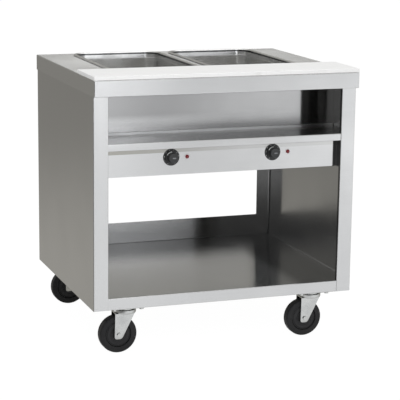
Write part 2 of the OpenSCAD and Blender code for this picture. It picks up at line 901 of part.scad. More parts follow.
top_deck();
board_studs();
cutting_board();
plate_shelf();
control_panel();
dial_plates();
service_tray();
rear_panel();
rear_panel_screws();
lower_shelf();
caster_bolts();
caster_nuts();
caster_balls();
terminal_block();
cord_gland();
wiring_loom();

for (side = SIDES) {
    side_panel(side[1]);
    caster_channel(side[1]);
    well_liner(side[1]);
    well_insulation(side[1]);
    well_jacket(side[1]);
    heating_element(side[1]);
    heat_switch(side[1]);
    pilot_lamp(side[1]);
    pilot_lens(side[1]);
    knob_shaft(side[1]);
    knob(side[1]);
    food_pan(side[1]);
}

for (caster = CASTERS) translate([caster[1][0], caster[1][1], 0]) {
    caster_plate();
    caster_fork();
    caster_axle();
    wheel_core();
    wheel_tyre();
}
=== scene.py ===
import json
import math

import bmesh
import bpy
from mathutils import Matrix, Vector

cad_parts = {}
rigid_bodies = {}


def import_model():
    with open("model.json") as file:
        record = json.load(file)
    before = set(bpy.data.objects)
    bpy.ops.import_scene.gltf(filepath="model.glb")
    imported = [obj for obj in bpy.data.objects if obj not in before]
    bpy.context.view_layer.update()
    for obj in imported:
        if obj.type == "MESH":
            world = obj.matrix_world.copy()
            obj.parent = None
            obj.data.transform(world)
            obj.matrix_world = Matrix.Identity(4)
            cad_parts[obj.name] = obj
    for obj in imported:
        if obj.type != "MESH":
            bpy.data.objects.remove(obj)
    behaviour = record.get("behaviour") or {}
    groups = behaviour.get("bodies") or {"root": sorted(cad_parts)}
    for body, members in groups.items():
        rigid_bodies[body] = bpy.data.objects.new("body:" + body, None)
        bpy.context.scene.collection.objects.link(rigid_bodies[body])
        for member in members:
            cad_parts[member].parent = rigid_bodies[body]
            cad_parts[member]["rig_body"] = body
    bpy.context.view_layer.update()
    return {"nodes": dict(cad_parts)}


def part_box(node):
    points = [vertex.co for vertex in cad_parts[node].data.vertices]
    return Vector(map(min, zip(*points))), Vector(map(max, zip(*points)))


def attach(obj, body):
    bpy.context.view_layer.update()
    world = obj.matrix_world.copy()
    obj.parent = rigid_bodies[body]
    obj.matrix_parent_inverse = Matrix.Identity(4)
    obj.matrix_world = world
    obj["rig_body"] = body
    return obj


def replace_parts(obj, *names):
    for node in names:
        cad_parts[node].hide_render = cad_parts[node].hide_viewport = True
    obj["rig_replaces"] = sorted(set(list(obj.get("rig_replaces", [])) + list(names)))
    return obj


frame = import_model()

# ---- Camera ----
# A long lens, to the left in front of the trolley. It stands a little higher than the top and looks
# slightly down.
CAMERA_PLACE = (-1.7460, -4.9672, 1.5301)
CAMERA_TURN = 19.730
CAMERA_DOWN = 11.786
CAMERA_ROLL = 0.683
LENS = 137.7


def about(axis, degrees):
    return Matrix.Rotation(math.radians(degrees), 4, axis)


camera = bpy.data.objects.new("view", bpy.data.cameras.new("view"))
bpy.context.scene.collection.objects.link(camera)
camera.data.lens = LENS
camera.data.clip_end = 80
aim = about("Z", -CAMERA_TURN) @ about("X", 90 - CAMERA_DOWN) @ about("Z", CAMERA_ROLL)
camera.matrix_world = Matrix.Translation(CAMERA_PLACE) @ aim
bpy.context.scene.camera = camera
bpy.context.scene.view_settings.view_transform = "Standard"

# ---- Studio ----
# A pale floor and a white room. Polished metal sees a floor that is bright in front and to the right, dim
# and a little warm behind and to the left, and a room that is dim low down, with a strip of light at the
# front, dark at the camera's corner and bright overhead.
FLOOR_SIZE = 40
FLOOR_WHITE = 0.94  # share of the floor that is plain white to the camera
FLOOR_GLOW = 1.045
FLOOR_COLOUR = (0.9, 0.9, 0.9, 1)
SEEN_IN_METAL = 0.95  # how far metal sees the painted floor instead of the lit one
FRONT_FLOOR = (0.97, 0.98, 1.0, 1)
BACK_FLOOR = (0.31, 0.30, 0.275, 1)
CAMERA_FLOOR = (0.20, 0.20, 0.202, 1)
FLOOR_FRONT = (0.0, 0.7)  # where the front begins, from the trolley's middle
FLOOR_LIT = (0.86, 0.28, 0.2)  # where the lit floor ends to the left, its turn and its softness
NEAR_BRIGHT, NEAR_TO = 1.03, 1.2  # brightness close by, and where it starts to change
MIDDLE_FROM, MIDDLE_TO, FAR_FROM = 3.2, 6.0, 6.45
MIDDLE_X = (0.8, 2.2)
MIDDLE_LEFT, MIDDLE_RIGHT = 0.93, 1.42  # brightness of the floor farther off, at its left and its right
LEFT_FROM, LEFT_TO, LEFT_FAR = 4.5, 5.3, 0.55  # the left of the middle floor dims farther off
BANDS_FROM, BANDS_TO = 0.15, 0.55  # sideways distance over distance in front
FAR_BANDS = (  # brightness of the far floor over that span, from the left
    (0.0, 0.9), (0.10, 1.2), (0.16, 2.1), (0.22, 1.8), (0.30, 1.1),
    (0.47, 0.70), (0.58, 0.80), (0.80, 1.2), (1.0, 1.4))
BACK_NEAR, BACK_FAR = 1.25, 0.78  # brightness of the floor behind, close by and far off
BACK_FROM, BACK_TO = 0.6, 4.5
ROOM_LIGHT = (0.55, 0.55, 0.55, 1)
ROOM_FRONT, ROOM_LIT = (-0.2, 0.4), (0.2, 0.0, 0.35)
LOW_FRONT = (0.60, 0.61, 0.63)
LOW_BACK = (0.345, 0.34, 0.32, 1)
LOW_CAMERA = (0.2, 0.2, 0.202, 1)
OVERHEAD = (1.3, 1.3, 1.3, 1)
LOW_ROOM, HIGH_ROOM = 0.30, 0.75
STRIP_LIGHT = 3.6  # the strip of light, against the rest of the room's front
STRIP_LEFT, STRIP_RIGHT = 0.27, 0.34
STRIP_LOW, STRIP_HIGH = 0.19, 0.25
ABOVE_STRIP = 0.3
WHITE = (1, 1, 1, 1)
SOFTBOXES = (  # name, place, target, size, power, and whether metal mirrors it
    ("front softbox", (-1.4, -4.0, 3.0), (0, 0, 0.6), 2.2, 80, False),
    ("top softbox", (0.6, 0.4, 4.2), (0, 0, 0.9), 3.0, 46, True))


def node(tree, kind, *ordered, out=0, options=(), **named):
    """A shader node with its options and inputs set or linked; returns the chosen output."""
    made = tree.nodes.new("ShaderNode" + kind)
    for key, value in dict(options).items():
        setattr(made, key, value)
    pairs = [(made.inputs[i], value) for i, value in enumerate(ordered) if value is not None]
    pairs += [(made.inputs[key.replace("_", " ")], value) for key, value in named.items()]
    for socket, value in pairs:
        if isinstance(value, bpy.types.NodeSocket):
            tree.links.new(value, socket)
        else:
            socket.default_value = value
    return made.outputs[out]


def math_node(tree, operation, *parts):
    return node(tree, "Math", *parts, options={"operation": operation})


def times(tree, first_part, *parts):
    for part in parts:
        first_part = math_node(tree, "MULTIPLY", first_part, part)
    return first_part


def axis(tree, place, letter):
    """One axis of a place or a direction."""
    return node(tree, "SeparateXYZ", place, out="XYZ".index(letter))


def here(tree):
    return node(tree, "TexCoord", out=3)


def facing(tree):
    return node(tree, "NewGeometry", out=1)


def between_values(tree, share, a, b):
    return node(tree, "Mix", share, None, a, b)


def mixed(tree, share, a, b):
    """A colour or vector between a and b."""
    return node(tree, "Mix", share, *[None] * 5, a, b, out=2, options={"data_type": "RGBA"})


def toned(tree, colour, share):
    """A colour times a share or another colour."""
    return node(tree, "VectorMath", colour, share, options={"operation": "MULTIPLY"})


def ranged(tree, value, low, high, new_low=0.0, new_high=1.0):
    smooth = {"interpolation_type": "SMOOTHSTEP"}
    return node(tree, "MapRange", value, low, high, new_low, new_high, options=smooth)


def new_material(name):
    material = bpy.data.materials.new(name)
    material.use_nodes = True
    material.node_tree.nodes.clear()
    return material, material.node_tree


def put_out(tree, shader):
    tree.links.new(shader, tree.nodes.new("ShaderNodeOutputMaterial").inputs["Surface"])


def shares(tree, place, front_from, front_to, lit_edge, lit_turn, soft):
    """Whether a place or direction is in front of the trolley, and clear of the camera's side."""
    y = axis(tree, place, "Y")
    front = ranged(tree, times(tree, y, -1.0), front_from, front_to)
    across = math_node(tree, "ADD", axis(tree, place, "X"), times(tree, y, lit_turn))
    return front, ranged(tree, across, -lit_edge, soft - lit_edge)


def banded(tree, value, stops):
    """Grey that follows the stops, each a place from 0 to 1 and a brightness."""
    ramp = tree.nodes.new("ShaderNodeFloatCurve")
    curve = ramp.mapping.curves[0]
    ramp.mapping.clip_max_y = 3.0
    for place, brightness in stops[1:-1]:
        curve.points.new(place, brightness)
    for point, stop in zip(curve.points, stops):
        point.location = stop
    ramp.mapping.update()
    tree.links.new(value, ramp.inputs["Value"])
    return ramp.outputs[0]


def floor_material():
    material, tree = new_material("studio floor")
    place = here(tree)
    front, clear = shares(tree, place, *FLOOR_FRONT, *FLOOR_LIT)
    sideways, ahead = axis(tree, place, "X"), times(tree, axis(tree, place, "Y"), -1.0)
    left = ranged(tree, ahead, LEFT_FROM, LEFT_TO, MIDDLE_LEFT, LEFT_FAR)
    middle = ranged(tree, sideways, *MIDDLE_X, left, MIDDLE_RIGHT)
    slant = node(tree, "MapRange", math_node(tree, "DIVIDE", sideways, ahead), BANDS_FROM, BANDS_TO)
    far = banded(tree, slant, FAR_BANDS)
    before = between_values(tree, ranged(tree, ahead, NEAR_TO, MIDDLE_FROM), NEAR_BRIGHT, middle)
    before = between_values(tree, ranged(tree, ahead, MIDDLE_TO, FAR_FROM), before, far)
    behind = ranged(tree, ahead, -BACK_TO, -BACK_FROM, BACK_FAR, BACK_NEAR)
    colour = mixed(tree, front, BACK_FLOOR, mixed(tree, clear, CAMERA_FLOOR, FRONT_FLOOR))
    painted = node(tree, "Emission", colour, between_values(tree, front, behind, before))
    camera_share = times(tree, node(tree, "LightPath", out=0), FLOOR_WHITE)
    metal_share = times(tree, node(tree, "LightPath", out=3), SEEN_IN_METAL)
    lit = node(tree, "BsdfDiffuse", FLOOR_COLOUR)
    shader = node(tree, "MixShader", camera_share, lit, node(tree, "Emission", WHITE, FLOOR_GLOW))
    put_out(tree, node(tree, "MixShader", metal_share, shader, painted))
    return material


bpy.ops.object.select_all(action="DESELECT")
bpy.ops.mesh.primitive_plane_add(size=FLOOR_SIZE)
floor = bpy.context.object
floor.name = "studio_floor"
floor.data.materials.append(floor_material())

room = bpy.data.worlds.new("room")
bpy.context.scene.world = room
room.use_nodes = True
tree = room.node_tree
tree.nodes.clear()
direction = node(tree, "TexCoord", out=0)
front, clear = shares(tree, direction, *ROOM_FRONT, *ROOM_LIT)
height = axis(tree, direction, "Z")
strip = ranged(tree, axis(tree, direction, "X"), STRIP_LEFT, STRIP_RIGHT, STRIP_LIGHT, 1.0)
strip = between_values(tree, ranged(tree, height, STRIP_LOW, STRIP_HIGH), strip, ABOVE_STRIP)
low_front = mixed(tree, clear, LOW_CAMERA, toned(tree, LOW_FRONT, strip))
around = mixed(tree, front, LOW_BACK, low_front)
seen = mixed(tree, ranged(tree, height, LOW_ROOM, HIGH_ROOM), around, OVERHEAD)
direct = node(tree, "LightPath", out=0)
seen = mixed(tree, direct, seen, WHITE)
for ray in ("Is Glossy Ray", "Is Transmission Ray"):
    direct = math_node(tree, "MAXIMUM", direct, node(tree, "LightPath", out=ray))
background = node(tree, "Background", mixed(tree, direct, ROOM_LIGHT, seen), 1.0)
tree.links.new(background, tree.nodes.new("ShaderNodeOutputWorld").inputs["Surface"])

for name, place, target, size, power, mirrored in SOFTBOXES:
    lamp = bpy.data.lights.new(name, "AREA")
    lamp.shape, lamp.size, lamp.energy = "SQUARE", size, power
    softbox = bpy.data.objects.new(name, lamp)
    bpy.context.scene.collection.objects.link(softbox)
    turn = (Vector(target) - Vector(place)).to_track_quat("-Z", "Y").to_matrix().to_4x4()
    softbox.matrix_world = Matrix.Translation(place) @ turn
    softbox.visible_glossy = mirrored

# ---- Casters: tyres and wheel cores ----
# Moulded wheels: a hard black core with a hub, and a black rubber tyre bonded round it. A ring groove
# shows where the two meet. They turn on a sleeve over the axle bolt.
CORNERS = ("front_left", "front_right", "rear_left", "rear_right")
WHEEL_SIDES = 96
TYRE_SHOULDER = 0.006
GROOVE_W, GROOVE_D = 0.0022, 0.0028
GROOVE_LIP = (0.0004, -0.0005)
SWELL_SHARE, SWELL, SWELL_BACK = 0.3, 0.0004, 0.0002  # the tyre's side wall swells, then falls back
RIM_IN, RIM_EDGE = 0.003, 0.0012  # how far the core's rim lies inside the tyre, and its eased edge
CORE_RINGS = ((0.0022, 0.0002), (0.0015, 0.0016), (0.010, 0.0003), (0.0015, -0.0012))
WEB_DIP = 0.0006
HUB_FOOT, HUB_RISE = (0.002, 0.0030), 0.0006
HUB_EDGE = (0.0010, 0.0008)
HUB_R, BORE = 0.0164, 0.0061
EXACT = 1e-5
SQUARE = 0.99  # how squarely a face looks or an edge runs along an axis
RING_SLACK = 0.0004


def only(*pieces):
    """Leaves edit mode and selects these pieces alone, the first as the active one."""
    if bpy.context.mode != "OBJECT":
        bpy.ops.object.mode_set(mode="OBJECT")
    bpy.ops.object.select_all(action="DESELECT")
    for piece in pieces:
        piece.select_set(True)
    if pieces:
        bpy.context.view_layer.objects.active = pieces[0]


def edit(name):
    """Names the primitive just added, fixes its place in its mesh, and opens it with nothing selected."""
    bpy.ops.object.transform_apply(location=True, rotation=True, scale=True)
    piece = bpy.context.object
    piece.name = piece.data.name = name
    bpy.ops.object.mode_set(mode="EDIT")
    bpy.ops.mesh.select_all(action="DESELECT")
    return piece


def block(name, low, high):
    """A box from its lowest to its highest corner, open for editing."""
    low, high = Vector(low), Vector(high)
    only()
    bpy.ops.mesh.primitive_cube_add(size=1, location=(low + high) / 2)
    bpy.context.object.scale = high - low
    return edit(name)


def turned(name, middle, radius, length, along="Y", sides=WHEEL_SIDES):
    """A round blank along an axis, open for editing."""
    turn = {"Y": (math.pi / 2, 0, 0), "Z": (0, 0, 0)}[along]
    only()
    bpy.ops.mesh.primitive_cylinder_add(
        vertices=sides, radius=radius, depth=length, location=middle, rotation=turn)
    return edit(name)


def choose(piece, kind, test):
    """Selects the verts, edges or faces whose middle, and direction or normal, pass the test."""
    bpy.ops.mesh.select_mode(type=kind)
    bpy.ops.mesh.select_all(action="DESELECT")
    mesh = bmesh.from_edit_mesh(piece.data)
    mesh.normal_update()
    if kind == "EDGE":
        for edge in mesh.edges:
            a, b = (corner.co for corner in edge.verts)
            edge.select_set(bool(test((a + b) / 2, (b - a).normalized())))
    elif kind == "FACE":
        for face in mesh.faces:
            face.select_set(bool(test(face.calc_center_median(), face.normal)))
    else:
        for corner in mesh.verts:
            corner.select_set(bool(test(corner.co, corner.normal)))
    bmesh.update_edit_mesh(piece.data)


def stepped(steps):
    """Insets the selected faces step by step: each step goes in by the first value and out by the second."""
    for inwards, outwards in steps:
        bpy.ops.mesh.inset(thickness=inwards, depth=outwards)


def rounded_edges(width, steps=3):
    bpy.ops.mesh.bevel(offset=width, segments=steps, affect="EDGES")


def modified(piece, kind, **settings):
    """Applies a modifier with these settings."""
    made = piece.modifiers.new(kind, kind)
    for key, value in settings.items():
        setattr(made, key, value)
    bpy.ops.object.modifier_apply(modifier=made.name)


def finish(piece, material, body, nodes=(), sheet=0.0, edge=0.0, angle=38):
    """Gives the open piece its sheet thickness, its eased edges, its shading and its place on a body."""
    only(piece)
    if sheet:
        modified(piece, "SOLIDIFY", thickness=sheet, offset=-1, use_even_offset=True)
    if edge:
        sharp = math.radians(50)
        modified(piece, "BEVEL", width=edge, segments=2, limit_method="ANGLE", angle_limit=sharp)
    bpy.ops.object.shade_smooth_by_angle(angle=math.radians(angle))
    modified(piece, "WEIGHTED_NORMAL", keep_sharp=True)
    piece.data.materials.clear()
    piece.data.materials.append(material)
    if nodes:
        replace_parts(piece, *nodes)
    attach(piece, body)
    return piece


def copied(piece, corner, kind, body, replaced):
    """A copy with its own mesh at another corner."""
    twin = piece.copy()
    twin.data = piece.data.copy()
    twin.name = twin.data.name = corner + kind
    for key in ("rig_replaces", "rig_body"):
        if key in twin:
            del twin[key]
    bpy.context.scene.collection.objects.link(twin)
    twin.parent = None
    twin.matrix_world = Matrix.Identity(4)
    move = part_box(corner + "_wheel_tyre")[0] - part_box(CORNERS[0] + "_wheel_tyre")[0]
    twin.data.transform(Matrix.Translation(move))
    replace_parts(twin, corner + replaced)
    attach(twin, corner + body)


def principled(material, **named):
    put_out(material.node_tree, node(material.node_tree, "BsdfPrincipled", **named))
    return material


def toned_surface(material, share, start, end, rough, **more):
    """A surface whose colour, and roughness if it has a range, run with a share from 0 to 1."""
    tree = material.node_tree
    if isinstance(rough, tuple):
        rough = ranged(tree, share, 0, 1, *rough)
    return principled(material, Base_Color=mixed(tree, share, start, end), Roughness=rough, **more)


def speckle(tree, scale, detail=3.0, stretch=(1, 1, 1)):
    """Noise from 0 to 1 on the piece's own coordinates, stretched along the axes."""
    place = node(tree, "Mapping", here(tree), Scale=stretch)
    return node(tree, "TexNoise", Vector=place, Scale=scale, Detail=detail)


def bumped(tree, height, distance):
    return node(tree, "Bump", Distance=distance, Height=height)


def moulded_material(name, colour, pale, roughness, shine=0.5):
    """Moulded rubber or plastic: a fine grain, and paler where it is handled or dusty."""
    material, tree = new_material(name)
    dust = ranged(tree, speckle(tree, 22.0, 4.0), 0.42, 0.75)
    grain = bumped(tree, speckle(tree, 900.0, 2.0), 0.00003)
    rough = (roughness, roughness + 0.12)
    return toned_surface(material, dust, colour, pale, rough, Specular_IOR_Level=shine, Normal=grain)


rubber = moulded_material("black rubber", (0.012, 0.012, 0.013, 1), (0.022, 0.022, 0.022, 1), 0.46, 0.3)
hard_core = moulded_material(
    "hard black core", (0.013, 0.013, 0.014, 1), (0.022, 0.022, 0.023, 1), 0.42, 0.35)


def between(low, high):
    return (Vector(low) + Vector(high)) / 2


def bored(piece, middle, radius):
    """Opens the selected end faces of a turned piece and joins them by the wall of its bore."""
    bpy.ops.mesh.delete(type="FACE")
    choose(piece, "EDGE", lambda c, d: (c - middle).xz.length < radius + RING_SLACK)
    bpy.ops.mesh.bridge_edge_loops()


def make_tyre(corner):
    low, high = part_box(corner + "_wheel_tyre")
    core_low, core_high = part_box(corner + "_wheel_core")
    middle, radius = between(low, high), (high.z - low.z) / 2
    bore = (core_high.z - core_low.z) / 2
    piece = turned(corner + "_tyre", middle, radius, high.y - low.y)
    choose(piece, "EDGE", lambda c, d: abs(abs(c.y - middle.y) - (high.y - low.y) / 2) < EXACT)
    rounded_edges(TYRE_SHOULDER, 5)
    choose(piece, "FACE", lambda c, n: abs(n.y) > SQUARE)
    side = radius - TYRE_SHOULDER - bore - GROOVE_W
    stepped([(side * SWELL_SHARE, SWELL), (side * (1 - SWELL_SHARE), -SWELL_BACK)])
    stepped([GROOVE_LIP, (GROOVE_W - GROOVE_LIP[0], -GROOVE_D)])
    bored(piece, middle, bore)
    return finish(piece, rubber, corner + "_wheel", [corner + "_wheel_tyre"])


def make_core(corner):
    low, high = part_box(corner + "_wheel_core")
    middle, radius = between(low, high), (high.z - low.z) / 2
    tyre_low, tyre_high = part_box(corner + "_wheel_tyre")
    rim_half = (tyre_high.y - tyre_low.y) / 2 - RIM_IN
    hub_half = (high.y - low.y) / 2
    piece = turned(corner + "_core", middle, radius, 2 * rim_half)
    choose(piece, "EDGE", lambda c, d: abs(abs(c.y - middle.y) - rim_half) < EXACT)
    rounded_edges(RIM_EDGE, 3)
    choose(piece, "FACE", lambda c, n: abs(n.y) > SQUARE)
    web = radius - HUB_R - sum(step[0] for step in CORE_RINGS) - RIM_EDGE - HUB_FOOT[0]
    stepped([*CORE_RINGS, (web, -WEB_DIP), HUB_FOOT])
    stepped([(HUB_RISE, hub_half - rim_half - HUB_FOOT[1] - WEB_DIP), HUB_EDGE])
    stepped([(HUB_R - HUB_RISE - HUB_EDGE[0] - BORE, 0)])
    bored(piece, middle, BORE)
    return finish(piece, hard_core, corner + "_wheel", [corner + "_wheel_core"])


tyre, core = make_tyre(CORNERS[0]), make_core(CORNERS[0])
for corner in CORNERS[1:]:
    copied(tyre, corner, "_tyre", "_wheel", "_wheel_tyre")
    copied(core, corner, "_core", "_wheel", "_wheel_core")

# ---- Casters: forks, plates, axles and fasteners ----
# Forks pressed from 3 mm steel with a rib along each leg, and a cup on top that turns on balls under the
# plate. All of it is zinc plated. Each plate is held to its channel by four bolts.
LEG_T = 0.003
LEG_END = 0.015
LEG_FRONT = 0.0295
LEG_TOE = 0.010  # how far a leg's lower end reaches in front of the axle
LEG_ROUND = 0.008
LEG_LEAN = 0.002  # how far the back edge of a leg leans in towards the crown
LEG_PLAY = 0.001  # room between hub and leg
LEG_RIM, RIB_SLOPE, RIB_H = 0.0036, 0.0034, 0.0007  # the rib pressed into each leg
CROWN_T = 0.0035
CUP_R, CUP_WALL, CUP_H = 0.0375, 0.003, 0.0125
CUP_FOOT, CUP_BRIM = 0.0045, 0.0012
FORK_EDGE = 0.0005
ZINC = (0.60, 0.605, 0.59, 1)
ZINC_DARK = (0.53, 0.535, 0.525, 1)


def zinc_material(name, colour, dark, roughness):
    """Bright zinc plate: faintly cloudy, with a fine satin from the pressing."""
    material, tree = new_material(name)
    clouds = ranged(tree, speckle(tree, 35.0, 4.0), 0.35, 0.7)
    satin = bumped(tree, speckle(tree, 700.0, 2.0), 0.000004)
    rough = (roughness, roughness + 0.06)
    return toned_surface(material, clouds, colour, dark, rough, Metallic=1.0, Normal=satin)


zinc = zinc_material("bright zinc plate", ZINC, ZINC_DARK, 0.22)
polished = zinc_material("polished bearing steel", (0.66, 0.66, 0.66, 1), (0.6, 0.6, 0.6, 1), 0.12)


def joined(name, *parts):
    """Joins the parts of one piece into one mesh, and opens it."""
    only(*parts)
    bpy.ops.object.join()
    parts[0].name = parts[0].data.name = name
    bpy.ops.object.mode_set(mode="EDIT")
    return parts[0]


def make_fork(corner):
    low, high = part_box(corner + "_caster_fork")
    swivel = between(*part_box(corner + "_caster_plate"))
    core_low, core_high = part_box(corner + "_wheel_core")
    axle = between(core_low, core_high)
    half = (core_high.y - core_low.y) / 2 + LEG_PLAY + LEG_T
    crown = high.z - CUP_H
    top = crown + CROWN_T
    back, front = axle.x - LEG_END, swivel.x + LEG_FRONT
    parts = []
    for side in (-1, 1):
        walls = sorted((swivel.y + side * half, swivel.y + side * (half - LEG_T)))
        leg = block("leg", (back, walls[0], axle.z - LEG_END), (axle.x + LEG_TOE, walls[1], top))
        choose(leg, "VERT", lambda c, n: c.z > axle.z and c.x > axle.x)
        bpy.ops.transform.translate(value=(front - axle.x - LEG_TOE, 0, 0))
        choose(leg, "VERT", lambda c, n: c.z > axle.z and c.x < axle.x)
        bpy.ops.transform.translate(value=(LEG_LEAN, 0, 0))
        choose(leg, "EDGE", lambda c, d: abs(d.y) > SQUARE and c.z < axle.z)
        rounded_edges(LEG_ROUND, 8)
        choose(leg, "FACE", lambda c, n: n.y * side > SQUARE)
        stepped([(LEG_RIM, 0.0), (RIB_SLOPE, RIB_H)])
        parts.append(leg)
    parts.append(block("crown", (back + LEG_LEAN, swivel.y - half, crown), (front, swivel.y + half, top)))
    cup = turned("cup", (swivel.x, swivel.y, (crown + high.z) / 2), CUP_R, high.z - crown, "Z", 72)
    choose(cup, "EDGE", lambda c, d: abs(c.z - crown) < EXACT)
    rounded_edges(CUP_FOOT, 5)
    choose(cup, "EDGE", lambda c, d: abs(c.z - high.z) < EXACT)
    rounded_edges(CUP_BRIM, 2)
    choose(cup, "FACE", lambda c, n: n.z > SQUARE)
    stepped([(CUP_WALL - CUP_BRIM, 0.0), (0.0, top - high.z)])
    fork = joined(corner + "_fork", *parts, cup)
    replaced = [corner + "_caster_fork"]
    return finish(fork, zinc, corner + "_fork", replaced, edge=FORK_EDGE, angle=40)


fork = make_fork(CORNERS[0])
for corner in CORNERS[1:]:
    copied(fork, corner, "_fork", "_fork", "_caster_fork")


def dress(material, *nodes):
    """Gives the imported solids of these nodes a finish."""
    for name in nodes:
        solid = frame["nodes"][name]
        solid.data.materials.clear()
        solid.data.materials.append(material)


for corner in CORNERS:
    dress(zinc, corner + "_caster_plate", corner + "_caster_axle")
dress(zinc, "caster_bolts", "caster_nuts")
dress(polished, "caster_balls")

# ---- Lower shelf, caster channels ----
# One sheet of stainless steel makes the shelf and the kerb along its back, with its ends turned up against
# the sides. A folded strip makes the lip in front. Two galvanised channels underneath carry the casters.
SKIN = 0.0012
FOLD = 0.0025
HEM = 0.012
SHEET_EDGE = 0.0003
END_FOLD, END_RISE = 0.005, 0.0005
KICK = 0.039
LIP_WELD, LIP_GAP = 0.0018, 0.0003  # ground weld at the left post, seam at the right
BELT_ACROSS = (0.0, 0.05, 1.0)  # across the grinding lines
STEEL = (0.63, 0.63, 0.625, 1)
STEEL_DARK = (0.60, 0.60, 0.595, 1)
STEEL_ROUGH = 0.145
SHEET_WAVE = 40  # how much higher the slow waves of the sheet are than the fine lines
OUTER_SKIN = 0.0006
INNER_SHADE = 0.78  # painted shade: colour of the upright inner faces, against the outer ones
INNER_SHADE_FROM, INNER_SHADE_TO = 0.040, 0.110  # how deep behind the front the painted shade begins and becomes full
END_SHADE = 4.1  # how much deeper the painted shade is on the panel's end flanges, against the other inner faces
SHELF_SHADE_BACK, SHELF_SHADE_RIGHT = (0.02, 0.26), (0.22, 0.30)  # where painted shade darkens the lower shelf
SHELF_SHADE, SHELF_TOP = 3.2, 0.3
WALL_FROM, WALL_X, WALL_Z = 0.706, (-0.20, 0.10), (0.745, 0.775)  # painted shade on the left of the compartment's back wall
WALL_FOOT_LIGHTER, WALL_TOP_SHADE = -0.5, 0.8  # less painted shade at its foot, more above
body_low, body_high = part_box("left_side_panel")[0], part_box("right_side_panel")[1]


def brushed_grain():
    """Group: fine lines left by the grinding belt, level round the body, and slow clouds in the polish."""
    group = bpy.data.node_groups.new("brushed grain", "ShaderNodeTree")
    for name, start in (("Along", 6.0), ("Across", 1400.0), ("Cloud size", 5.0)):
        socket = group.interface.new_socket(name, in_out="INPUT", socket_type="NodeSocketFloat")
        socket.default_value = start
    for name in ("Lines", "Clouds"):
        group.interface.new_socket(name, in_out="OUTPUT", socket_type="NodeSocketFloat")
    given = group.nodes.new("NodeGroupInput").outputs

    def stretched(letter, name):
        return times(group, axis(group, here(group), letter), given[name])

    faces_x = math_node(group, "ABSOLUTE", axis(group, facing(group), "X"))
    faces_x = math_node(group, "GREATER_THAN", faces_x, 0.7)
    fine_y, fine_z = stretched("Y", "Across"), stretched("Z", "Across")
    front_face = node(group, "CombineXYZ", stretched("X", "Along"), fine_y, fine_z)
    side_face = node(group, "CombineXYZ", 0.0, stretched("Y", "Along"), fine_z)
    where = mixed(group, faces_x, front_face, side_face)
    lines = node(group, "TexNoise", Vector=where, Scale=1.0, Detail=2.0)
    clouds = node(group, "TexNoise", Vector=here(group), Scale=given["Cloud size"], Detail=3.0)
    result = group.nodes.new("NodeGroupOutput")
    group.links.new(lines, result.inputs["Lines"])
    group.links.new(clouds, result.inputs["Clouds"])
    return group


grain_group = brushed_grain()


def inner_share(tree):
    """How much painted shade a place gets: upright inner faces deeper behind the front, the panel's end
    flanges, the back and right of the lower shelf, and more at the top left of the compartment's back wall.
    """
    x, y, z = (axis(tree, here(tree), letter) for letter in "XYZ")
    upright = math_node(tree, "ABSOLUTE", axis(tree, facing(tree), "Z"))
    upright = math_node(tree, "LESS_THAN", upright, 0.5)
    front_y = body_low.y + INNER_SHADE_FROM
    end_face = math_node(tree, "ABSOLUTE", axis(tree, facing(tree), "X"))
    end_face = math_node(tree, "GREATER_THAN", end_face, 0.9)
    end_face = times(tree, end_face, END_SHADE, math_node(tree, "LESS_THAN", y, front_y))
    deep = ranged(tree, y, front_y, body_low.y + INNER_SHADE_TO)
    deep = times(tree, math_node(tree, "MAXIMUM", deep, end_face), upright)
    # Painted shade on the back and right of the lower shelf.
    wear_and_shade = math_node(tree, "MAXIMUM", ranged(tree, y, *SHELF_SHADE_BACK), ranged(tree, x, *SHELF_SHADE_RIGHT))
    level = math_node(tree, "SUBTRACT", 1.0, upright)
    wear_and_shade = times(tree, wear_and_shade, level, SHELF_SHADE, math_node(tree, "LESS_THAN", z, SHELF_TOP))
    # Painted shade, stronger at the top left of the compartment's back wall and lighter at its foot.
    wall_shade = times(
        tree, ranged(tree, z, *WALL_Z, WALL_FOOT_LIGHTER, WALL_TOP_SHADE), ranged(tree, x, *WALL_X, 1.0, 0.0),
        math_node(tree, "GREATER_THAN", z, WALL_FROM))
    deep = times(tree, math_node(tree, "MAXIMUM", deep, wear_and_shade), math_node(tree, "ADD", wall_shade, 1.0))
    between_sides = math_node(tree, "LESS_THAN", math_node(tree, "ABSOLUTE", x), body_high.x - OUTER_SKIN)
    before_back = math_node(tree, "LESS_THAN", y, body_high.y - OUTER_SKIN)
    return times(tree, deep, between_sides, before_back)


def steel_material(name, colour, dark, roughness, shaded=True):
    """Stainless sheet: mirror-like, drawn out across the grinding lines, with faint clouds and lines."""
    material, tree = new_material(name)
    grain = tree.nodes.new("ShaderNodeGroup")
    grain.node_tree = grain_group
    lines, clouds = grain.outputs["Lines"], grain.outputs["Clouds"]
    shade = ranged(tree, math_node(tree, "ADD", times(tree, lines, 0.6), clouds), 0.45, 1.15)
    wavy = math_node(tree, "ADD", lines, times(tree, clouds, SHEET_WAVE))
    across = {"operation": "CROSS_PRODUCT"}
    # Painted shade: the base colour is darkened on the inner faces, unless the sheet is left unshaded.
    inner = inner_share(tree) if shaded else 0.0
    dull_and_shade = math_node(tree, "SUBTRACT", 1.0, times(tree, inner, 1.0 - INNER_SHADE))
    return principled(
        material,
        Base_Color=toned(tree, mixed(tree, shade, dark, colour), dull_and_shade),
        Metallic=1.0,
        Roughness=ranged(tree, shade, 0, 1, roughness + 0.025, roughness - 0.015),
        Anisotropic=1.0,
        Anisotropic_Rotation=0.25,
        Tangent=node(tree, "VectorMath", facing(tree), BELT_ACROSS, options=across),
        Normal=bumped(tree, wavy, 0.000003),
    )


stainless = steel_material("brushed stainless", STEEL, STEEL_DARK, STEEL_ROUGH)
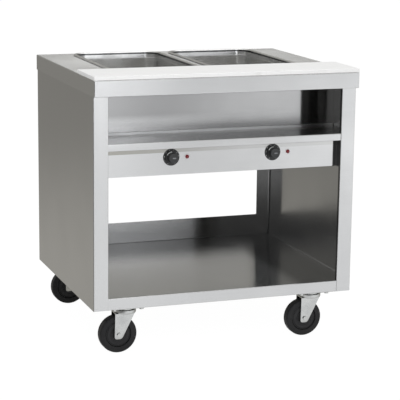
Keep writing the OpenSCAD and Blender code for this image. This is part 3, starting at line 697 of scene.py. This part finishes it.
# The zinc on the channels lies in dull crystals, a few millimetres to a few centimetres wide.
galvanised, tree = new_material("galvanised sheet")
tone = node(tree, "SeparateColor", node(tree, "TexVoronoi", Vector=here(tree), Scale=70.0, out=1))
dull_and_shade, bright = (0.42, 0.44, 0.45, 1), (0.60, 0.62, 0.63, 1)
uneven = bumped(tree, speckle(tree, 300.0), 0.00003)
toned_surface(galvanised, tone, dull_and_shade, bright, (0.34, 0.5), Metallic=1.0, Normal=uneven)


def panel(name, low, high, way):
    """A flat sheet between two corners, facing an axis, open for editing."""
    low, high = Vector(low), Vector(high)
    span = high - low
    turn, size = {
        "+Z": ((0, 0, 0), (span.x, span.y)),
        "-Y": ((math.pi / 2, 0, 0), (span.x, span.z)),
        "+X": ((0, math.pi / 2, 0), (span.z, span.y)),
        "-X": ((0, -math.pi / 2, 0), (span.z, span.y)),
    }[way]
    only()
    bpy.ops.mesh.primitive_plane_add(size=1, location=(low + high) / 2, rotation=turn)
    bpy.context.object.scale = (*size, 1)
    return edit(name)


def edge_at(piece, letter, place, also=None):
    """Selects the edges that lie at a place on an axis."""
    index = "xyz".index(letter)
    choose(piece, "EDGE", lambda c, d: abs(c[index] - place) < EXACT and abs(d[index]) < 0.01
           and (also is None or also(c)))


def folded(*moves):
    """Draws the selected edges out by each move in turn, as flanges."""
    for move in moves:
        bpy.ops.mesh.extrude_region_move(TRANSFORM_OT_translate={"value": move})


def round_folds(piece, radius, steps=4):
    """Rounds every edge at which the sheet turns."""
    bpy.ops.mesh.select_mode(type="EDGE")
    bpy.ops.mesh.select_all(action="DESELECT")
    mesh = bmesh.from_edit_mesh(piece.data)
    for edge in mesh.edges:
        edge.select_set(len(edge.link_faces) == 2 and edge.calc_face_angle(0.0) > 0.5)
    bmesh.update_edit_mesh(piece.data)
    rounded_edges(radius, steps)


def finish_sheet(piece, material, name):
    return finish(piece, material, "cabinet", [name], sheet=SKIN, edge=SHEET_EDGE)


post_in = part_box("control_panel")[1].x - SKIN


def make_lip(name, low, top):
    """The folded strip along the front of a shelf, from post to post."""
    lip = panel(name, (-post_in - LIP_WELD, low.y, low.z), (post_in - LIP_GAP, low.y, top), "-Y")
    for height in (low.z, top):
        edge_at(lip, "z", height)
        folded((0, HEM, 0))
    round_folds(lip, FOLD)
    return lip


def make_shelf():
    low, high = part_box("lower_shelf")
    floor_z, back = low.z + KICK, high.y - SKIN
    lip = make_lip("shelf lip", low, floor_z)
    sheet = panel("shelf floor", (low.x, low.y + HEM, floor_z), (high.x, back, floor_z), "+Z")
    edge_at(sheet, "y", back)
    folded((0, 0, high.z - floor_z))
    round_folds(sheet, FOLD - SKIN)
    parts = [lip, sheet]
    for side in (-1, 1):
        end = side * (high.x - SKIN)
        reach = sorted((end, end - side * HEM))
        turned_up = panel("shelf end", (reach[0], low.y + HEM, floor_z + END_RISE),
                          (reach[1], back - HEM, floor_z + END_RISE), "+Z")
        edge_at(turned_up, "x", end)
        folded((0, 0, HEM))
        round_folds(turned_up, END_FOLD, 6)
        parts.append(turned_up)
    finish_sheet(joined("shelf", *parts), stainless, "lower_shelf")


make_shelf()
dress(galvanised, "left_caster_channel", "right_caster_channel")

# ---- Side panels ----
# Each side is one stainless sheet, folded at the front into a post with a return behind it, and at the
# back into a flange. The shelves and panels are welded in between the two sides.
POST_W = 0.0505
REAR_FLANGE = 0.054
REAR_FOLD = 0.007


def make_side(name, side):
    low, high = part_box(name)
    face = high.x if side > 0 else low.x
    piece = panel(name + "_sheet", (face, low.y, low.z), (face, high.y, high.z), "+X" if side > 0 else "-X")
    edge_at(piece, "y", low.y)
    folded((-side * POST_W, 0, 0), (0, HEM, 0))
    edge_at(piece, "y", high.y)
    folded((-side * REAR_FLANGE, 0, 0))
    edge_at(piece, "y", high.y, lambda c: abs(c.x - face) < EXACT)
    rounded_edges(REAR_FOLD, 6)
    round_folds(piece, FOLD)
    finish_sheet(piece, stainless, name)


make_side("left_side_panel", -1)
make_side("right_side_panel", 1)

# ---- Service tray, terminals, leads and gland ----
# A galvanised tray closes the space under the wells. It carries the terminals and the gland, and the
# braided leads run over it from the terminals to the switches and on to the heating tubes.
terminal_body = moulded_material("terminal body", (0.62, 0.58, 0.47, 1), (0.70, 0.67, 0.57, 1), 0.42)
black_moulding = moulded_material("black moulding", (0.02, 0.02, 0.021, 1), (0.032, 0.033, 0.034, 1), 0.34)
braid, tree = new_material("braided sleeve")
yarn = node(tree, "TexVoronoi", Vector=here(tree), Scale=900.0)
thread, gap = (0.62, 0.60, 0.54, 1), (0.40, 0.38, 0.33, 1)
toned_surface(braid, yarn, thread, gap, 0.8, Normal=bumped(tree, yarn, 0.0002))
dress(galvanised, "service_tray")
dress(terminal_body, "terminal_block")
dress(black_moulding, "cord_gland")
dress(braid, "wiring_loom")

# ---- Plate shelf ----
# The floor, the lip and the back wall of the compartment under the top, folded from stainless sheet and
# welded between the posts. A flat strip is spot-welded along the foot of the back wall.
PLATE_LIP = 0.024
PLATE_FOLD = 0.003
FOOT_END, FOOT_FRONT, FOOT_H, FOOT_EDGE = 0.003, 0.0042, 0.0085, 0.0012
plate_low, plate_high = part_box("plate_shelf")
plate_z = plate_low.z + PLATE_LIP
plate_back = plate_high.y - SKIN
# Painted highlight: the strip's steel is paler than the sheet, so that it shows as a light line.
highlight_strip_steel = steel_material(
    "pale stainless strip, painted highlight", (0.84, 0.84, 0.84, 1), (0.78, 0.78, 0.78, 1), 0.34, shaded=False)

plate_lip = make_lip("plate lip", plate_low, plate_z)
plate_floor = panel(
    "plate floor", (plate_low.x, plate_low.y + HEM, plate_z), (plate_high.x, plate_back, plate_z), "+Z")
edge_at(plate_floor, "y", plate_back)
folded((0, 0, plate_high.z - SKIN - plate_z), (0, -HEM, 0))
round_folds(plate_floor, PLATE_FOLD)
finish_sheet(joined("plate_compartment", plate_lip, plate_floor), stainless, "plate_shelf")

foot_low = Vector((plate_low.x + FOOT_END, plate_back - FOOT_FRONT, plate_z))
foot_high = Vector((plate_high.x - FOOT_END, plate_back - SKIN, plate_z + FOOT_H))
foot = block("foot_strip", foot_low, foot_high)
edge_at(foot, "z", foot_high.z, lambda c: c.y < foot_low.y + EXACT)
rounded_edges(FOOT_EDGE, 3)
finish(foot, highlight_strip_steel, "cabinet")

# ---- Control panel ----
# A stainless panel set back under the plate compartment, folded back at its top and bottom and forward at
# its ends, to the posts. The switches are screwed in from behind.
RECESS = 0.032
LIP_SHADOW_H, LIP_SHADOW_EDGE = 0.0180, 0.0015  # painted shadow: the band under the shelf's lip, and its soft edge
LIP_SHADOW_COLOUR = (0.60, 0.59, 0.54)
LIP_SHADOW_FADE = 0.25  # what is left of it at the right
panel_low, panel_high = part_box("control_panel")
panel_y = plate_low.y + RECESS


def panel_steel():
    """The body's stainless steel, with a painted shadow under the lip that fades out to the right."""
    material = stainless.copy()
    material.name = "brushed stainless panel, painted shadow"
    tree = material.node_tree
    shader = next(n for n in tree.nodes if n.type == "BSDF_PRINCIPLED")
    plain = shader.inputs["Base Color"].links[0].from_socket
    # Painted shadow: the panel is darkened in a band just under the lip.
    shadow_low = plate_low.z - LIP_SHADOW_H
    under_lip = ranged(tree, axis(tree, here(tree), "Z"), shadow_low, shadow_low + LIP_SHADOW_EDGE)
    fading = ranged(tree, axis(tree, here(tree), "X"), -post_in, post_in * 0.4, 1.0, LIP_SHADOW_FADE)
    shaded = mixed(tree, times(tree, under_lip, fading), plain, toned(tree, plain, LIP_SHADOW_COLOUR))
    tree.links.new(shaded, shader.inputs["Base Color"])
    return material


front = panel("control_front", (-post_in, panel_y, panel_low.z), (post_in, panel_y, panel_high.z), "-Y")
for height in (panel_low.z, panel_high.z):
    edge_at(front, "z", height)
    folded((0, HEM, 0))
for side in (-1, 1):
    edge_at(front, "x", side * post_in, lambda c: abs(c.y - panel_y) < EXACT)
    folded((0, panel_low.y - panel_y, 0))
round_folds(front, FOLD)
finish_sheet(front, panel_steel(), "control_panel")
dress(black_moulding, "left_heat_switch", "right_heat_switch")
dress(zinc, "left_knob_shaft", "right_knob_shaft")

# ---- Dials ----
# Round black plates behind the knobs, clamped on the panel by the switches' bushes and printed with a ring
# of plain pale numbers.
SIDES = ("left", "right")
NUMBERS, NUMBER_SWEEP = 10, 300
NUMBER_SIZE, NUMBER_R = 0.0052, 0.0242
INK_T = 0.00008
SAME_PLACE = 1e-6
DIAL_EDGE, DIAL_RIM, DIAL_DIP = 0.0006, 0.0012, 0.0002
dial_low, dial_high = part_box("dial_plates")
dial_t = dial_high.y - dial_low.y
dial_face = panel_y - dial_t
# The same pale material prints the numbers and paints the highlight on the knobs' skirts.
pale_print_and_highlight, tree = new_material("pale print and painted highlight")
wear_and_shade = ranged(tree, speckle(tree, 500.0), 0.3, 0.6)
toned_surface(pale_print_and_highlight, wear_and_shade, (0.55, 0.57, 0.56, 1), (0.72, 0.74, 0.73, 1), 0.5)


def eased_front(piece, face, width, steps):
    """Rounds the front edge of a turned piece and selects its front face."""
    choose(piece, "EDGE", lambda c, d: c.y < face + EXACT)
    rounded_edges(width, steps)
    choose(piece, "FACE", lambda c, n: n.y < -SQUARE)


def welded_points():
    """Joins the points that lie on each other."""
    bpy.ops.mesh.select_all(action="SELECT")
    bpy.ops.mesh.remove_doubles(threshold=SAME_PLACE)


def make_dial(side):
    shaft = between(*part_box(side + "_knob_shaft"))
    middle = Vector((shaft.x, panel_y - dial_t / 2, shaft.z))
    dial = turned(side + "_dial", middle, (dial_high.z - dial_low.z) / 2, dial_t)
    eased_front(dial, dial_face, DIAL_EDGE, 2)
    stepped([(DIAL_RIM, -DIAL_DIP)])
    finish(dial, black_moulding, "cabinet", ["dial_plates"])
    numbers = []
    for k in range(NUMBERS):
        turn = math.radians(NUMBER_SWEEP * k / (NUMBERS - 1) - NUMBER_SWEEP / 2)
        outwards = Vector((math.sin(turn), 0, math.cos(turn)))
        place = Vector((shaft.x, dial_face, shaft.z)) + outwards * NUMBER_R
        only()
        bpy.ops.object.text_add(location=place, rotation=(math.pi / 2, 0, 0))
        text = bpy.context.object.data
        text.body = str(k)
        text.size, text.extrude, text.resolution_u = NUMBER_SIZE, INK_T, 3
        text.align_x = text.align_y = "CENTER"
        bpy.ops.object.convert(target="MESH")
        bpy.ops.object.transform_apply(location=True, rotation=True, scale=True)
        numbers.append(bpy.context.object)
    ring = joined(side + "_dial_marks", *numbers)
    welded_points()
    finish(ring, pale_print_and_highlight, "cabinet")


for side in SIDES:
    make_dial(side)

# ---- Knobs ----
# Black phenolic knobs, each a skirt and a fluted grip in one moulding, pushed on to the flat of its switch
# shaft. A pale arc round part of the skirt is a painted highlight on its rim, and a pale pointer is let into
# the grip's face.
FLUTES, FLUTE_R = 12, 0.0035
FLUTE_OUT, FLUTE_FORWARD = 0.55, 0.002  # share of its radius by which a flute's middle lies outside
GRIP_TAPER, GRIP_EDGE = 0.95, 0.0022
FACE_RIM, FACE_SLOPE, FACE_DIP = 0.0030, 0.0008, 0.0006
SKIRT_W, SKIRT_H, SKIRT_EDGE = 0.0040, 0.0070, 0.0012
# The pale arc on the skirt is a painted highlight on its rim.
HIGHLIGHT_T = 0.0002
ARC_GAP, ARC_W, ARC_TURN = 0.0006, 0.0022, 62
POINTER_LONG, POINTER_WIDE, POINTER_EDGE = 0.0110, 0.0036, 0.0003
POINTER_START, POINTER_OUT, POINTER_IN = 0.003, 0.0005, 0.0004
pointer_material = moulded_material("pale pointer", (0.16, 0.17, 0.18, 1), (0.24, 0.25, 0.26, 1), 0.3)


def make_knob(side):
    low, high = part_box(side + "_knob")
    middle, skirt_r, depth = between(low, high), (high.x - low.x) / 2, high.y - low.y
    radius = skirt_r - SKIRT_W
    grip = turned(side + "_grip", middle, radius, depth)
    choose(grip, "VERT", lambda c, n: c.y < low.y + EXACT)
    bpy.ops.transform.resize(value=(GRIP_TAPER, 1, GRIP_TAPER), center_override=(middle.x, low.y, middle.z))
    eased_front(grip, low.y, GRIP_EDGE, 4)
    stepped([(FACE_RIM, 0.0), (FACE_SLOPE, -FACE_DIP)])
    cutters = []
    for k in range(FLUTES):
        turn = 2 * math.pi * (k + 0.5) / FLUTES
        outwards = Vector((math.cos(turn), 0, math.sin(turn))) * (radius + FLUTE_R * FLUTE_OUT)
        place = middle + outwards - Vector((0, FLUTE_FORWARD, 0))
        cutters.append(turned("flute", place, FLUTE_R, depth, sides=24))
    flutes = joined("flutes", *cutters)
    only(grip)
    modified(grip, "BOOLEAN", operation="DIFFERENCE", solver="EXACT", object=flutes)
    bpy.data.objects.remove(flutes)
    skirt_face = high.y - SKIRT_H
    skirt = turned("skirt", (middle.x, high.y - SKIRT_H / 2, middle.z), skirt_r, SKIRT_H)
    eased_front(skirt, skirt_face, SKIRT_EDGE, 3)
    knob = joined(side + "_grip", grip, skirt)
    finish(knob, black_moulding, side + "_control", [side + "_knob"], angle=50)
    # Painted highlight: a pale arc round part of the skirt's face, where light catches its rim.
    arc_z = middle.z + radius + ARC_GAP
    arc = panel(side + "_index", (middle.x, skirt_face - HIGHLIGHT_T, arc_z),
                (middle.x, skirt_face, arc_z + ARC_W), "+X")
    bpy.ops.mesh.select_all(action="SELECT")
    bpy.ops.mesh.spin(
        steps=18, angle=math.radians(ARC_TURN), center=(middle.x, skirt_face, middle.z), axis=(0, 1, 0))
    welded_points()
    bpy.ops.mesh.normals_make_consistent(inside=False)
    finish(arc, pale_print_and_highlight, side + "_control")
    face = low.y + FACE_DIP
    start = Vector((middle.x - POINTER_START, face - POINTER_OUT, middle.z - POINTER_WIDE / 2))
    size = Vector((POINTER_LONG, POINTER_OUT + POINTER_IN, POINTER_WIDE))
    pointer = block(side + "_pointer", start, start + size)
    bpy.ops.mesh.select_all(action="SELECT")
    rounded_edges(POINTER_EDGE, 2)
    finish(pointer, pointer_material, side + "_control")


for side in SIDES:
    make_knob(side)

# ---- Pilot lamps ----
# Moulded lamp holders pushed through holes in the panel, each with a pale bezel and a domed lens of
# translucent red plastic over the dark lamp.
BEZEL_EDGE, BEZEL_WALL = 0.0007, 0.0025
LENS_RIM, DOME_REACH = 1 / 3, 0.97  # shares of the lens's height under the dome and of its radius
ROUND_STEPS = 6
red_lens, tree = new_material("red lens")
depth = ranged(tree, speckle(tree, 400.0), 0.3, 0.7)
toned_surface(red_lens, depth, (0.12, 0.002, 0.006, 1), (0.19, 0.004, 0.010, 1), 0.18, Coat_Weight=0.4)
bezel_moulding = moulded_material("pale bezel", (0.78, 0.74, 0.74, 1), (0.84, 0.81, 0.81, 1), 0.35)


def quarter_turn(inwards, outwards):
    """Steps that turn a wall into a face along a quarter of an ellipse."""
    turns = [math.pi / 2 * k / ROUND_STEPS for k in range(ROUND_STEPS + 1)]
    return [(inwards * (math.cos(a) - math.cos(b)), outwards * (math.sin(b) - math.sin(a)))
            for a, b in zip(turns, turns[1:])]


def make_lamp(side):
    low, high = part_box(side + "_pilot_lamp")
    lens_low, lens_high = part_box(side + "_pilot_lens")
    middle = between(lens_low, lens_high)
    bezel_t = panel_y - low.y
    place = (middle.x, panel_y - bezel_t / 2, middle.z)
    bezel = turned(side + "_bezel", place, (high.x - low.x) / 2, bezel_t, sides=48)
    eased_front(bezel, low.y, BEZEL_EDGE, 3)
    choose(bezel, "FACE", lambda c, n: n.y > SQUARE)
    stepped([(BEZEL_WALL, 0.0), (0.0, high.y - panel_y)])
    finish(bezel, bezel_moulding, "cabinet", [side + "_pilot_lamp"])
    rise, radius = lens_high.y - lens_low.y, (lens_high.x - lens_low.x) / 2
    rim = rise * LENS_RIM
    lens = turned(side + "_lens", (middle.x, lens_high.y - rim / 2, middle.z), radius, rim, sides=48)
    choose(lens, "FACE", lambda c, n: n.y < -SQUARE)
    stepped(quarter_turn(radius * DOME_REACH, rise - rim))
    finish(lens, red_lens, "cabinet", [side + "_pilot_lens"], angle=60)


for side in SIDES:
    make_lamp(side)

# ---- Wells, insulation, jackets and heating tubes ----
# Drawn stainless wells welded under the cut-outs of the top, wrapped in glass-fibre blanket inside
# galvanised jackets. A bent heating tube lies under each.
RIM_SHADE_FROM, RIM_SHADE_TO = 0.0014, 0.0030  # the painted shade lies in the shadow of the pans' rims, on the top
RIM_SHADE = (0.10, 0.10, 0.10, 1)
rim_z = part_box("top_deck")[1].z


def drawn_material(name, colour, dark, roughness):
    """Deep-drawn stainless: smooth, with faint orange peel, water marks and painted shade under the rim."""
    material, tree = new_material(name)
    marks = ranged(tree, speckle(tree, 14.0, 5.0), 0.35, 0.7)
    height = axis(tree, here(tree), "Z")
    above = ranged(tree, height, rim_z + RIM_SHADE_FROM, rim_z + RIM_SHADE_TO)
    below = math_node(tree, "LESS_THAN", height, rim_z - RIM_SHADE_TO)
    clean_and_unshaded = math_node(tree, "MAXIMUM", above, below)
    return principled(
        material,
        # Painted shade: dark in a band round the height of the top, under the pans' rims.
        Base_Color=mixed(tree, clean_and_unshaded, RIM_SHADE, mixed(tree, marks, colour, dark)),
        Metallic=1.0,
        Roughness=ranged(tree, marks, 0, 1, roughness, roughness + 0.08),
        Normal=bumped(tree, speckle(tree, 160.0, 2.0), 0.00002),
    )


# Matted yellow fibres make the blanket.
blanket, tree = new_material("glass-fibre blanket")
fibres = speckle(tree, 260.0, 6.0, (1, 1, 0.2))
deep, pale = (0.52, 0.44, 0.20, 1), (0.80, 0.72, 0.44, 1)
toned_surface(blanket, fibres, deep, pale, 0.95, Normal=bumped(tree, fibres, 0.002))
# Dark oxide with patches of heat colour lies on the tubes.
tube, tree = new_material("heating tube")
patches = ranged(tree, speckle(tree, 45.0, 5.0), 0.35, 0.65)
oxide, heated = (0.10, 0.085, 0.075, 1), (0.24, 0.20, 0.17, 1)
crust = bumped(tree, speckle(tree, 900.0), 0.00003)
toned_surface(tube, patches, oxide, heated, (0.55, 0.38), Metallic=1.0, Normal=crust)
drawn_steel = drawn_material("drawn stainless", (0.70, 0.70, 0.69, 1), (0.64, 0.64, 0.63, 1), 0.17)
for side in SIDES:
    dress(drawn_steel, side + "_well_liner")
    dress(blanket, side + "_well_insulation")
    dress(galvanised, side + "_well_jacket")
    dress(tube, side + "_heating_element")

# ---- Top ----
# One stainless sheet turned down all round, its corners welded and ground smooth. The front edge is
# returned underneath. Two openings with round corners take the pans, and three studs hold the board.
TOP_T, TOP_FOLD = 0.0016, 0.003
FLANGE = 0.008  # how far the top reaches over each well
CUTOUT_R = 0.038
CUT_REACH = Vector((0, 0, 0.02))
top_low, top_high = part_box("top_deck")
top_steel = steel_material("brushed stainless top", (0.67, 0.67, 0.665, 1), (0.64, 0.64, 0.635, 1), 0.20)


def make_cutter(low, high):
    """A block with rounded upright edges, as wide as the opening over a well."""
    start = Vector((low.x + FLANGE, low.y + FLANGE, top_high.z)) - CUT_REACH
    end = Vector((high.x - FLANGE, high.y - FLANGE, top_high.z)) + CUT_REACH
    cutter = block("opening", start, end)
    choose(cutter, "EDGE", lambda c, d: abs(d.z) > SQUARE)
    rounded_edges(CUTOUT_R, 12)
    return cutter


deck = panel("top", (top_low.x, top_low.y, top_high.z), top_high, "+Z")
choose(deck, "EDGE", lambda c, d: True)
folded((0, 0, top_low.z - top_high.z))
edge_at(deck, "z", top_low.z, lambda c: abs(c.y - top_low.y) < EXACT)
folded((0, HEM, 0))
round_folds(deck, TOP_FOLD)
only(deck)
modified(deck, "SOLIDIFY", thickness=TOP_T, offset=-1, use_even_offset=True)
openings = joined("openings", *(make_cutter(*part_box(side + "_well_liner")) for side in SIDES))
only(deck)
modified(deck, "BOOLEAN", operation="DIFFERENCE", solver="EXACT", object=openings)
bpy.data.objects.remove(openings)
finish(deck, top_steel, "cabinet", ["top_deck"], edge=SHEET_EDGE)
dress(polished, "board_studs")

# ---- Rear panel ----
# A plain stainless sheet that closes the back behind the wells. Eight zinc-plated screws hold it to the
# rear flanges of the sides.
dress(stainless, "rear_panel")
dress(zinc, "rear_panel_screws")

# ---- Pans ----
# Loose full-size pans, deep-drawn from thin stainless sheet, with a rolled rim, a shoulder under it and
# well-rounded corners. They hang in the openings by their rims.
PAN_T = 0.0008
PAN_CORNER = 0.051
RIM_RISE = 0.006
RIM = (
    (0.0, 0.0040), (0.0005, 0.0012), (0.0014, 0.0008), (0.0060, 0.0), (0.0021, -0.0006), (0.0010, -0.0022))
SHOULDER, SHOULDER_TOP = 0.020, 0.0028  # depth of the shoulder, and the rim's share of it
UNDER_RIM = (0.0007, SHOULDER_TOP - SHOULDER)
STEP_IN = ((0.0010, -0.0016), (0.0003, -0.0015))
WALL_LEAN, PAN_BEND = 0.0027, 0.014
FLOOR_RISE = (0.012, 0.0004)


def make_pan(side):
    low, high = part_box(side + "_food_pan")
    base = high.z - RIM_RISE
    pan = panel(side + "_pan", (low.x, low.y, base), (high.x, high.y, base), "+Z")
    choose(pan, "VERT", lambda c, n: True)
    bpy.ops.mesh.bevel(offset=PAN_CORNER, segments=14, affect="VERTICES")
    choose(pan, "FACE", lambda c, n: True)
    step_drop = sum(step[1] for step in STEP_IN)
    wall = high.z - low.z - PAN_T - SHOULDER + step_drop - PAN_BEND
    stepped([*RIM, UNDER_RIM, *STEP_IN, (WALL_LEAN, -wall)])
    stepped([*quarter_turn(PAN_BEND, -PAN_BEND), FLOOR_RISE])
    replaced = [side + "_food_pan"]
    finish(pan, drawn_steel, side + "_pan", replaced, sheet=PAN_T, angle=50)


for side in SIDES:
    make_pan(side)

# ---- Cutting board ----
# A white polyethylene board with eased edges, laid along the front of the top over its three studs. Its
# face is faintly scuffed from use.
BOARD_CORNER, BOARD_EASE = 0.003, 0.0016
SCUFFS = ((900, 14, 40), (25, 700, 40), (420, 500, 40))  # how the scuffs are drawn out along the axes


def board_material():
    material, tree = new_material("white board")
    scuff = 0.0
    for stretch in SCUFFS:
        drawn = ranged(tree, speckle(tree, 1.0, 3.0, stretch), 0.60, 0.74)
        scuff = math_node(tree, "MAXIMUM", scuff, drawn)
    clean_and_unshaded, wear_and_shade = (0.88, 0.88, 0.875, 1), (0.80, 0.80, 0.79, 1)
    height = math_node(tree, "SUBTRACT", speckle(tree, 420.0), scuff)
    return toned_surface(material, scuff, clean_and_unshaded, wear_and_shade, (0.42, 0.6), Normal=bumped(tree, height, 0.00006))


low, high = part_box("cutting_board")
board = block("board", low, high)
choose(board, "EDGE", lambda c, d: abs(d.z) > SQUARE)
rounded_edges(BOARD_CORNER, 3)
choose(board, "EDGE", lambda c, d: abs(c.z - low.z) < EXACT or abs(c.z - high.z) < EXACT)
rounded_edges(BOARD_EASE, 3)
finish(board, board_material(), "board", ["cutting_board"])
